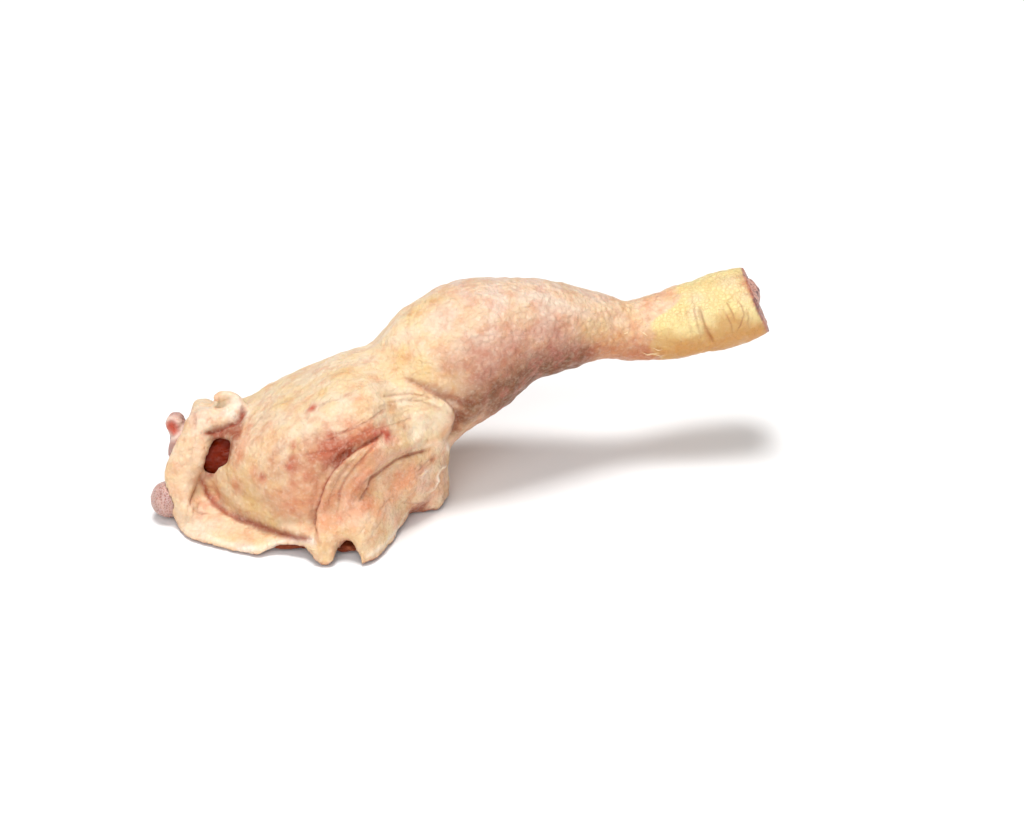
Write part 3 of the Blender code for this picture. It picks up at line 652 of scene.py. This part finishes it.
# The drumstick is mottled but for its top and its ankle. Pale rims and the painted shade of the
# creases come last.
mottle = ramp(unevenness(skin_points, 0.0055, 23.0) + 0.4 * drift, 0.0, 0.45)
mottle *= on_limb * (1 - on_hock) * ramp(-level_up, -0.75, 0.0) * ramp(x, 0.060, 0.030)
tone = lay(tone, MOTTLE, 0.35 * mottle)
tone = lay(tone, RIM_WHITE, pale_mask)
tone = lay(tone, CREASE_SHADE_BROWN, crease_shade_mask)


BOX_MARGIN = 1e-5


def surface(name, points, faces, tone, masks):
    """A piece made of points and triangles, coloured point by point, with its masks."""
    low, high = np.array(cad_box[0]) + BOX_MARGIN, np.array(cad_box[1]) - BOX_MARGIN
    points = np.clip(points, low, high)
    mesh = bpy.data.meshes.new(name)
    mesh.from_pydata(points.tolist(), [], faces.tolist())
    mesh.shade_smooth()
    layer = mesh.color_attributes.new("tone", "FLOAT_COLOR", "POINT")
    layer.data.foreach_set("color", np.column_stack([tone, np.ones(len(tone))]).ravel())
    for mask, values in masks.items():
        layer = mesh.attributes.new(mask, "FLOAT", "POINT")
        layer.data.foreach_set("value", values)
    made = bpy.data.objects.new(name, mesh)
    bpy.context.scene.collection.objects.link(made)
    return made


skin = surface(
    "chicken_skin",
    skin_points,
    skin_faces,
    tone,
    {
        "mottle": mottle,
        "limb": on_limb * (1 - on_hock),
        "hock": on_hock,
        "scaly": on_hock * ramp(level_up, 0.1, 0.8),
    },
)


def new_material(name):
    """A new material: itself, its node tree and its Principled shader."""
    made = bpy.data.materials.new(name)
    made.use_nodes = True
    return made, made.node_tree, made.node_tree.nodes["Principled BSDF"]


def plug(tree, socket, value):
    """A value or another node's socket put into a socket."""
    if isinstance(value, bpy.types.NodeSocket):
        tree.links.new(value, socket)
    else:
        socket.default_value = value


def arithmetic(tree, kind, first, second):
    """Two values or sockets added or multiplied."""
    made = tree.nodes.new("ShaderNodeMath")
    made.operation = kind
    plug(tree, made.inputs[0], first)
    plug(tree, made.inputs[1], second)
    return made.outputs[0]


def mixed(tree, kind, share, first, second):
    """Two colours mixed by a share."""
    made = tree.nodes.new("ShaderNodeMix")
    made.data_type = "RGBA"
    made.blend_type = kind
    plug(tree, made.inputs[0], share)
    plug(tree, made.inputs[6], first)
    plug(tree, made.inputs[7], second)
    return made.outputs[2]


def spread(tree, value, low, high, start=0.0, end=1.0):
    """A value between low and high spread smoothly from start to end."""
    made = tree.nodes.new("ShaderNodeMapRange")
    made.interpolation_type = "SMOOTHSTEP"
    for name, given in zip(
        ("Value", "From Min", "From Max", "To Min", "To Max"), (value, low, high, start, end)
    ):
        plug(tree, made.inputs[name], given)
    return made.outputs["Result"]


def read_mask(tree, name):
    """A mask, or the tone, as stored at each point."""
    made = tree.nodes.new("ShaderNodeAttribute")
    made.attribute_name = name
    return made.outputs["Color" if name == "tone" else "Fac"]


def colour_of(red, green, blue):
    """A colour as a node takes it."""
    return (*linear(red, green, blue), 1)


def empty_group(name, inputs, outputs):
    """A shader node group with its sockets: itself, and what goes in and comes out inside it."""
    made = bpy.data.node_groups.new(name, "ShaderNodeTree")
    for socket in inputs:
        kind = "NodeSocketVector" if socket == "Place" else "NodeSocketFloat"
        made.interface.new_socket(socket, in_out="INPUT", socket_type=kind)
    for socket in outputs:
        made.interface.new_socket(socket, in_out="OUTPUT", socket_type="NodeSocketFloat")
    within = made.nodes
    return made, within.new("NodeGroupInput").outputs, within.new("NodeGroupOutput").inputs


# Patches, shared by all the wet tissues: blurred islands, as fat and blood show through a film
patches, given, found = empty_group(
    "patches", ("Place", "Grains per metre", "Low", "High", "Most"), ("Mask",)
)
cloud = patches.nodes.new("ShaderNodeTexNoise")
cloud.inputs["Detail"].default_value = 3.0
cloud.inputs["Roughness"].default_value = 0.5
patches.links.new(given["Place"], cloud.inputs["Vector"])
patches.links.new(given["Grains per metre"], cloud.inputs["Scale"])
islands = spread(patches, cloud.outputs["Fac"], given["Low"], given["High"], 0.0, given["Most"])
patches.links.new(islands, found["Mask"])

# Membrane, shared too: the fine wrinkled relief of a wet film, and how it glistens
membrane, given, found = empty_group(
    "membrane", ("Place", "Grains per metre", "Dry", "Wet"), ("Height", "Roughness")
)
wrinkles = membrane.nodes.new("ShaderNodeTexNoise")
wrinkles.inputs["Detail"].default_value = 5.0
wrinkles.inputs["Roughness"].default_value = 0.66
wrinkles.inputs["Distortion"].default_value = 0.6
pools = membrane.nodes.new("ShaderNodeTexNoise")
pools_per_metre = arithmetic(membrane, "MULTIPLY", given["Grains per metre"], 0.4)
membrane.links.new(given["Place"], wrinkles.inputs["Vector"])
membrane.links.new(given["Grains per metre"], wrinkles.inputs["Scale"])
membrane.links.new(given["Place"], pools.inputs["Vector"])
membrane.links.new(pools_per_metre, pools.inputs["Scale"])
wetness = spread(membrane, pools.outputs["Fac"], 0.35, 0.65, given["Wet"], given["Dry"])
membrane.links.new(wrinkles.outputs["Fac"], found["Height"])
membrane.links.new(wetness, found["Roughness"])


def effect(tree, group, place, **values):
    """One of the shared effects put into a material with its own values."""
    made = tree.nodes.new("ShaderNodeGroup")
    made.node_tree = group
    tree.links.new(place, made.inputs["Place"])
    for name, value in values.items():
        made.inputs[name.replace("_", " ")].default_value = value
    return made.outputs


def where_on(tree):
    """The place on the piece, in metres."""
    return tree.nodes.new("ShaderNodeTexCoord").outputs["Object"]


def relief_into(tree, shader, height, strength, distance):
    """Relief finer than the mesh put into a material."""
    bump = tree.nodes.new("ShaderNodeBump")
    bump.inputs["Strength"].default_value = strength
    bump.inputs["Distance"].default_value = distance
    tree.links.new(height, bump.inputs["Height"])
    tree.links.new(bump.outputs["Normal"], shader.inputs["Normal"])


def cells(tree, place, per_metre, feature):
    """Small cells: how far it is to their middles, or to their edges."""
    made = tree.nodes.new("ShaderNodeTexVoronoi")
    made.feature = feature
    made.inputs["Scale"].default_value = per_metre
    made.inputs["Randomness"].default_value = 1.0
    tree.links.new(place, made.inputs["Vector"])
    return made.outputs["Distance"]


# Tints of the fat and blood under the skin, colours of what is in the skin itself, and painted
# glints
FAT_TINT = colour_of(254, 244, 220)
FLUSH_TINT = colour_of(240, 206, 194)
PALE_PATCH = colour_of(250, 232, 208)
PAINTED_GLINT = colour_of(255, 242, 222)
PORE = colour_of(178, 104, 88)
SCALE_EDGE = colour_of(206, 152, 84)
PORES_PER_METRE = 400
SCALES_PER_METRE = 620

skin_material, tree, shader = new_material("moist_skin")
place = where_on(tree)
limb_share = read_mask(tree, "limb")
hock_share = read_mask(tree, "hock")
fat = effect(tree, patches, place, Grains_per_metre=110, Low=0.42, High=0.62, Most=0.70)["Mask"]
flush = effect(tree, patches, place, Grains_per_metre=170, Low=0.46, High=0.68, Most=0.60)["Mask"]
pale = effect(tree, patches, place, Grains_per_metre=520, Low=0.46, High=0.70, Most=0.16)["Mask"]
colour = mixed(tree, "MULTIPLY", fat, read_mask(tree, "tone"), FAT_TINT)
colour = mixed(tree, "MULTIPLY", flush, colour, FLUSH_TINT)
colour = mixed(tree, "MIX", pale, colour, PALE_PATCH)
# Painted highlights: small whitish glints flecked over the skin
painted_glints = effect(tree, patches, place, Grains_per_metre=800, Low=0.54, High=0.72, Most=0.15)["Mask"]
colour = mixed(tree, "MIX", painted_glints, colour, PAINTED_GLINT)
plain_share = arithmetic(tree, "MULTIPLY", hock_share, 0.6)
colour = mixed(tree, "MIX", plain_share, colour, read_mask(tree, "tone"))
pores = spread(tree, cells(tree, place, PORES_PER_METRE, "F1"), 0.15, 0.70)
pore_share = arithmetic(tree, "MULTIPLY", spread(tree, limb_share, 0.0, 1.0, 0.35, 1.0), pores)
pore_depth = spread(tree, read_mask(tree, "mottle"), 0.0, 1.0, 0.16, 0.60)
pore_share = arithmetic(tree, "MULTIPLY", pore_share, pore_depth)
colour = mixed(tree, "MIX", pore_share, colour, PORE)
scale_edges = cells(tree, place, SCALES_PER_METRE, "DISTANCE_TO_EDGE")
scales = spread(tree, scale_edges, 0.0, 0.22, 1.0, 0.0)
scales = arithmetic(tree, "MULTIPLY", scales, read_mask(tree, "scaly"))
scale_share = arithmetic(tree, "MULTIPLY", scales, 0.26)
colour = mixed(tree, "MIX", scale_share, colour, SCALE_EDGE)
film = effect(tree, membrane, place, Grains_per_metre=560, Dry=0.48, Wet=0.28)
tree.links.new(colour, shader.inputs["Base Color"])
tree.links.new(film["Roughness"], shader.inputs["Roughness"])
shader.inputs["IOR"].default_value = 1.42
shader.inputs["Subsurface Weight"].default_value = 0.20
shader.inputs["Subsurface Radius"].default_value = (1.0, 0.42, 0.24)
shader.inputs["Subsurface Scale"].default_value = 0.0022
pits = arithmetic(tree, "MULTIPLY", spread(tree, limb_share, 0.0, 1.0, 0.65, 1.0), pores)
relief = arithmetic(tree, "ADD", film["Height"], arithmetic(tree, "MULTIPLY", pits, -0.36))
relief = arithmetic(tree, "ADD", relief, arithmetic(tree, "MULTIPLY", scales, -0.20))
relief_into(tree, shader, relief, 0.9, 0.0011)
skin.data.materials.append(skin_material)
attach(skin, "root")
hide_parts("leg")

# Shreds of torn skin. Thin pale threads of fat and skin left by the plucking and the knife, stuck
# to the drumstick beside the hock, to the hem and to the folds.
SHREDS = (
    ((642, 352), (648, 354), (655, 353.5), (660, 352)),
    ((645, 355), (652, 354), (660, 355.5), (665, 354)),
    ((652, 347), (657, 350), (663, 349)),
    ((641, 331), (645, 334), (649, 337)),
    ((623, 335), (627, 332), (629, 336)),
    ((309, 548), (314, 550), (319, 548.5)),
    ((419, 476), (424, 473), (429, 474)),
)
SHRED_COLOUR = linear(244, 214, 170)
SHRED_RADIUS = 0.00022
SHRED_SIDES = 6
SHRED_POINTED = 0.15
SHRED_LIFT = 0.00015
SHRED_BEND = 0.0003
SHRED_WAVES = 1.2
# A direction that no thread follows, which its rings are turned from
OFF_COURSE = (0.3, 0.5, 0.8)


def thread(middles, radius):
    """Points and triangles of a thin round thread through the middles, pointed at both ends."""
    course = np.gradient(middles, axis=0)
    course /= np.linalg.norm(course, axis=1, keepdims=True)
    side = np.cross(course, OFF_COURSE)
    side /= np.linalg.norm(side, axis=1, keepdims=True)
    up = np.cross(course, side)
    taper = np.linspace(SHRED_POINTED, math.pi - SHRED_POINTED, len(middles))
    thick = radius * np.sin(taper)[:, None]
    turns = np.arange(SHRED_SIDES) * math.tau / SHRED_SIDES
    rings = [middles + thick * (side * math.cos(a) + up * math.sin(a)) for a in turns]
    faces, more = [], []
    for ring in range(0, (len(middles) - 1) * SHRED_SIDES, SHRED_SIDES):
        for a in range(SHRED_SIDES):
            here, beyond = ring + a, ring + (a + 1) % SHRED_SIDES
            faces.append((here, beyond, beyond + SHRED_SIDES))
            more.append((here, beyond + SHRED_SIDES, here + SHRED_SIDES))
    faces += more
    return np.stack(rings, 1).reshape(-1, 3), np.array(faces)


shred_points, shred_faces, shred_count = [], [], 0
for number, spots in enumerate(SHREDS):
    line, facing = line_on(skin_tree, spots)
    bend = SHRED_BEND * np.sin(np.linspace(0, math.tau * SHRED_WAVES, len(line)) + number)
    middles = line + facing * (SHRED_LIFT + bend)[:, None]
    points, faces = thread(middles, SHRED_RADIUS)
    shred_points.append(points)
    shred_faces.append(faces + shred_count)
    shred_count += len(points)
shred_points = np.concatenate(shred_points)
tone = np.tile(SHRED_COLOUR, (len(shred_points), 1))
shreds = surface("skin_shreds", shred_points, np.concatenate(shred_faces), tone, {})
shred_material, tree, shader = new_material("torn_skin")
film = effect(tree, membrane, where_on(tree), Grains_per_metre=900, Dry=0.5, Wet=0.3)
tree.links.new(read_mask(tree, "tone"), shader.inputs["Base Color"])
tree.links.new(film["Roughness"], shader.inputs["Roughness"])
relief_into(tree, shader, film["Height"], 0.4, 0.0003)
shreds.data.materials.append(shred_material)
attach(shreds, "root")

# The raw meat. Dark thigh muscle that shows in the cut end and in the gap beside the rolled skin,
# wrapped in a purplish film. A stub of it stands out on top, cut across, red in its middle.
MEAT_RED = linear(108, 32, 6)
MEAT_FILM = linear(196, 156, 146)
MEAT_FAT = colour_of(196, 128, 108)
STUB_RIM = linear(240, 214, 196)
STUB_RED = linear(206, 92, 70)
MEAT_GRAIN = 0.0006
MEAT_EASING = 10
FIBRE_WIDTH = 0.0011
FIBRE_HEIGHT = 0.0002
FIBRE_STRETCH = np.array([0.35, 1.0, 1.0])
FILM_FROM_TO = (0.1085, 0.1125)
STUB_SEEN_AT = (171, 428)
STUB_DISH_DEPTH = 0.0016
# The radii of the stub's dish, of its pale rim and of its red middle, in millimetres
STUB_DISH_RADIUS = 2.2
STUB_RIM_RADIUS = 4.2
STUB_RED_RADIUS = 2.9

meat_points, meat_faces = fine_mesh("thigh_meat", MEAT_GRAIN, MEAT_EASING)
meat_normals = outward(meat_points, meat_faces)
meat_tree = tree_of(meat_points, meat_faces)
outer = ramp(-meat_points[:, 0], *FILM_FROM_TO)
fibres = unevenness(meat_points * FIBRE_STRETCH, FIBRE_WIDTH, 5.0)
meat_points = meat_points + meat_normals * (FIBRE_HEIGHT * fibres)[:, None]
tone = np.tile(MEAT_RED, (len(meat_points), 1))
tone = lay(tone, MEAT_FILM, 0.9 * outer + 0.1 * fibres)
stub_middle = np.array(meat_tree.ray_cast(eye, sight(*STUB_SEEN_AT))[0])
away = np.linalg.norm(meat_points - stub_middle, axis=1) * 1000
dish = STUB_DISH_DEPTH * np.exp(-((away / STUB_DISH_RADIUS) ** 4))
meat_points = meat_points - meat_normals * dish[:, None]
tone = lay(tone, STUB_RIM, 0.7 * np.exp(-((away - STUB_RIM_RADIUS) ** 2)))
tone = lay(tone, STUB_RED, 0.95 * np.exp(-((away / STUB_RED_RADIUS) ** 4)))
meat_masks = {"fibre": ramp(fibres, -0.5, 0.5), "outer": outer}
meat = surface("raw_thigh_meat", meat_points, meat_faces, tone, meat_masks)
meat_material, tree, shader = new_material("raw_muscle")
place = where_on(tree)
marbled = effect(tree, patches, place, Grains_per_metre=420, Low=0.55, High=0.70, Most=0.5)
film = effect(tree, membrane, place, Grains_per_metre=700, Dry=0.42, Wet=0.24)
marbling = arithmetic(tree, "MULTIPLY", marbled["Mask"], read_mask(tree, "outer"))
colour = mixed(tree, "MIX", marbling, read_mask(tree, "tone"), MEAT_FAT)
tree.links.new(colour, shader.inputs["Base Color"])
tree.links.new(film["Roughness"], shader.inputs["Roughness"])
shader.inputs["Specular IOR Level"].default_value = 0.12
shader.inputs["Subsurface Weight"].default_value = 0.15
shader.inputs["Subsurface Radius"].default_value = (1.0, 0.25, 0.15)
shader.inputs["Subsurface Scale"].default_value = 0.002
fibre_height = arithmetic(tree, "MULTIPLY", read_mask(tree, "fibre"), 0.6)
relief = arithmetic(tree, "ADD", film["Height"], fibre_height)
relief_into(tree, shader, relief, 0.7, 0.0006)
meat.data.materials.append(meat_material)
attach(meat, "root")
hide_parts("thigh_meat")

# The flesh under the skirt. Where the loose skin is lifted off the table, dark thigh meat shows
# behind its edge: a few wet lumps of it, their dark brown partly the meat's own colour and partly
# painted shade for the shadow of the skirt. Each is given by where it is seen, and by half its
# length and half its depth.
FLESH_LUMPS = ((288, 541, 0.0110, 0.0045), (308, 541, 0.0090, 0.0040), (347, 543, 0.0070, 0.0050))
FLESH_HEIGHT = 0.0030
FLESH_FLATNESS = 0.8
FLESH_SWELL = 0.12
FLESH_SWELL_SIZE = 0.45
FLESH_DARK = linear(118, 52, 30)
FLESH_LIGHT = linear(160, 88, 58)

ball = bpy.data.meshes.new("ball")
shaping = bmesh.new()
bmesh.ops.create_icosphere(shaping, subdivisions=4, radius=1.0)
shaping.to_mesh(ball)
shaping.free()
round_points = np.array([v.co for v in ball.vertices])
round_faces = np.array([p.vertices for p in ball.polygons])
lump_points, lump_faces = [], []
for number, (across, down, long, deep) in enumerate(FLESH_LUMPS):
    seen = sight(across, down)
    middle = np.array(eye + seen * ((FLESH_HEIGHT - eye.z) / seen.z))
    swell = FLESH_SWELL * unevenness(round_points, FLESH_SWELL_SIZE, number * 3.0)
    half_sizes = np.array([long, deep, FLESH_HEIGHT * FLESH_FLATNESS])
    lump_points.append(middle + round_points * (1 + swell)[:, None] * half_sizes)
    lump_faces.append(round_faces + number * len(round_points))
lump_points = np.concatenate(lump_points)
lumpy = unevenness(lump_points, 0.002, 61.0)
tone = np.tile(FLESH_DARK, (len(lump_points), 1))
tone = lay(tone, FLESH_LIGHT, ramp(lumpy, 0.0, 0.6))
under_flesh = surface(
    "flesh_under_skirt",
    lump_points,
    np.concatenate(lump_faces),
    tone,
    {"fibre": ramp(lumpy, -0.5, 0.5), "outer": np.zeros(len(lump_points))},
)
under_flesh.data.materials.append(meat_material)
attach(under_flesh, "root")

# The thigh bone. Its round head stands out of the cut end, capped in smooth cartilage that is
# pinkish grey, with a net of paler lines where the joint's skin has dried on it.
BONE_GRAIN = 0.0006
THIGH_BONE_EASING = 14
DENT_SIZE = 0.0045
DENT_HEIGHT = 0.00018
HEAD_PINK = linear(186, 138, 124)
HEAD_DENT = linear(160, 108, 100)
HEAD_SHADED_LOW = linear(146, 92, 72)
CLOUDED = colour_of(146, 96, 92)
DRIED_SKIN = colour_of(226, 200, 192)
NET_PER_METRE = 1000

bone_points, bone_faces = fine_mesh("thigh_bone", BONE_GRAIN, THIGH_BONE_EASING)
bone_normals = outward(bone_points, bone_faces)
dents = unevenness(bone_points, DENT_SIZE, 31.0)
bone_points = bone_points + bone_normals * (DENT_HEIGHT * dents)[:, None]
tone = np.tile(HEAD_PINK, (len(bone_points), 1))
tone = lay(tone, HEAD_DENT, ramp(dents, 0.0, 0.6))
# Painted shade: the head is darker and warmer where it faces down
tone = lay(tone, HEAD_SHADED_LOW, 0.8 * ramp(-bone_normals[:, 2], -0.2, 0.6))
thigh_bone = surface("thigh_bone_head", bone_points, bone_faces, tone, {})
bone_material, tree, shader = new_material("cartilage")
place = where_on(tree)
net_edges = cells(tree, place, NET_PER_METRE, "DISTANCE_TO_EDGE")
net = spread(tree, net_edges, 0.02, 0.22, 0.5, 0.0)
clouds = effect(tree, patches, place, Grains_per_metre=600, Low=0.45, High=0.65, Most=0.6)["Mask"]
film = effect(tree, membrane, place, Grains_per_metre=900, Dry=0.40, Wet=0.25)
colour = mixed(tree, "MIX", clouds, read_mask(tree, "tone"), CLOUDED)
colour = mixed(tree, "MIX", net, colour, DRIED_SKIN)
tree.links.new(colour, shader.inputs["Base Color"])
tree.links.new(film["Roughness"], shader.inputs["Roughness"])
shader.inputs["Subsurface Weight"].default_value = 0.15
shader.inputs["Subsurface Scale"].default_value = 0.002
net_height = arithmetic(tree, "MULTIPLY", net, 0.5)
relief = arithmetic(tree, "ADD", film["Height"], net_height)
relief_into(tree, shader, relief, 0.5, 0.0005)
thigh_bone.data.materials.append(bone_material)
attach(thigh_bone, "root")
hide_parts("thigh_bone")

# The shank bone. Where the foot was cut off, its knuckle ends in the hock: pale cartilage with
# dark clotted streaks.
SHANK_EASING = 12
RIDGE_SIZE = 0.0026
RIDGE_HEIGHT = 0.0004
KNUCKLE_PINK = linear(222, 168, 150)
KNUCKLE_RED = linear(176, 92, 84)
KNUCKLE_CLOT = linear(96, 62, 66)
CLOT = colour_of(120, 66, 66)

shank_points, shank_faces = fine_mesh("shank_bone", BONE_GRAIN, SHANK_EASING)
shank_normals = outward(shank_points, shank_faces)
ridges = unevenness(shank_points, RIDGE_SIZE, 41.0)
shank_points = shank_points + shank_normals * (RIDGE_HEIGHT * ridges)[:, None]
reddened = unevenness(shank_points, 0.004, 43.0)
clotted = ridges + 0.5 * unevenness(shank_points, 0.0012, 45.0)
tone = np.tile(KNUCKLE_PINK, (len(shank_points), 1))
tone = lay(tone, KNUCKLE_RED, 0.8 * ramp(reddened, 0.0, 0.4))
tone = lay(tone, KNUCKLE_CLOT, 0.9 * ramp(clotted, 0.15, 0.5))
shank_bone = surface("shank_bone_end", shank_points, shank_faces, tone, {})
shank_material, tree, shader = new_material("cut_knuckle")
place = where_on(tree)
film = effect(tree, membrane, place, Grains_per_metre=900, Dry=0.45, Wet=0.25)
clots = effect(tree, patches, place, Grains_per_metre=700, Low=0.55, High=0.68, Most=0.6)["Mask"]
colour = mixed(tree, "MIX", clots, read_mask(tree, "tone"), CLOT)
tree.links.new(colour, shader.inputs["Base Color"])
tree.links.new(film["Roughness"], shader.inputs["Roughness"])
relief_into(tree, shader, film["Height"], 0.8, 0.0007)
shank_bone.data.materials.append(shank_material)
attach(shank_bone, "root")
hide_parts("shank_bone")

# The floor. A plain white matt table top, far wider than the leg, that takes its shadow. Nothing
# is fixed to it.
FLOOR_REACH = 6.0
FLOOR_SIDES = ((-1, -1), (1, -1), (1, 1), (-1, 1))
floor_corners = [(a * FLOOR_REACH, b * FLOOR_REACH, 0) for a, b in FLOOR_SIDES]
floor_mesh = bpy.data.meshes.new("floor")
floor_mesh.from_pydata(floor_corners, [], [(0, 1, 2, 3)])
floor = bpy.data.objects.new("floor", floor_mesh)
bpy.context.scene.collection.objects.link(floor)
floor_material, tree, shader = new_material("white_table")
shader.inputs["Base Color"].default_value = (0.92, 0.92, 0.92, 1)
shader.inputs["Roughness"].default_value = 0.7
shader.inputs["Specular IOR Level"].default_value = 0.1
floor_mesh.materials.append(floor_material)

# The light. Soft studio light: a lamp straight above, a very wide one in front, and a pale room
# round them.
LAMPS = (
    ("key", (-0.15, 0.15, 2.60), 0.90, 54.0),
    ("front", (-0.30, -2.30, 1.80), 2.80, 62.0),
)
LIT_PLACE = Vector((0, 0, 0.03))
ROOM_LIGHT = 0.22

for name, where, size, power in LAMPS:
    lamp_data = bpy.data.lights.new(name, "AREA")
    lamp_data.size = size
    lamp_data.energy = power
    lamp = bpy.data.objects.new(name, lamp_data)
    lamp.location = where
    lamp.rotation_mode = "QUATERNION"
    lamp.rotation_quaternion = (LIT_PLACE - Vector(where)).to_track_quat("-Z", "Y")
    bpy.context.scene.collection.objects.link(lamp)
room = bpy.data.worlds.new("room")
room.use_nodes = True
glow = room.node_tree.nodes["Background"].inputs
glow["Color"].default_value = (1.0, 1.0, 1.0, 1)
glow["Strength"].default_value = ROOM_LIGHT
bpy.context.scene.world = room
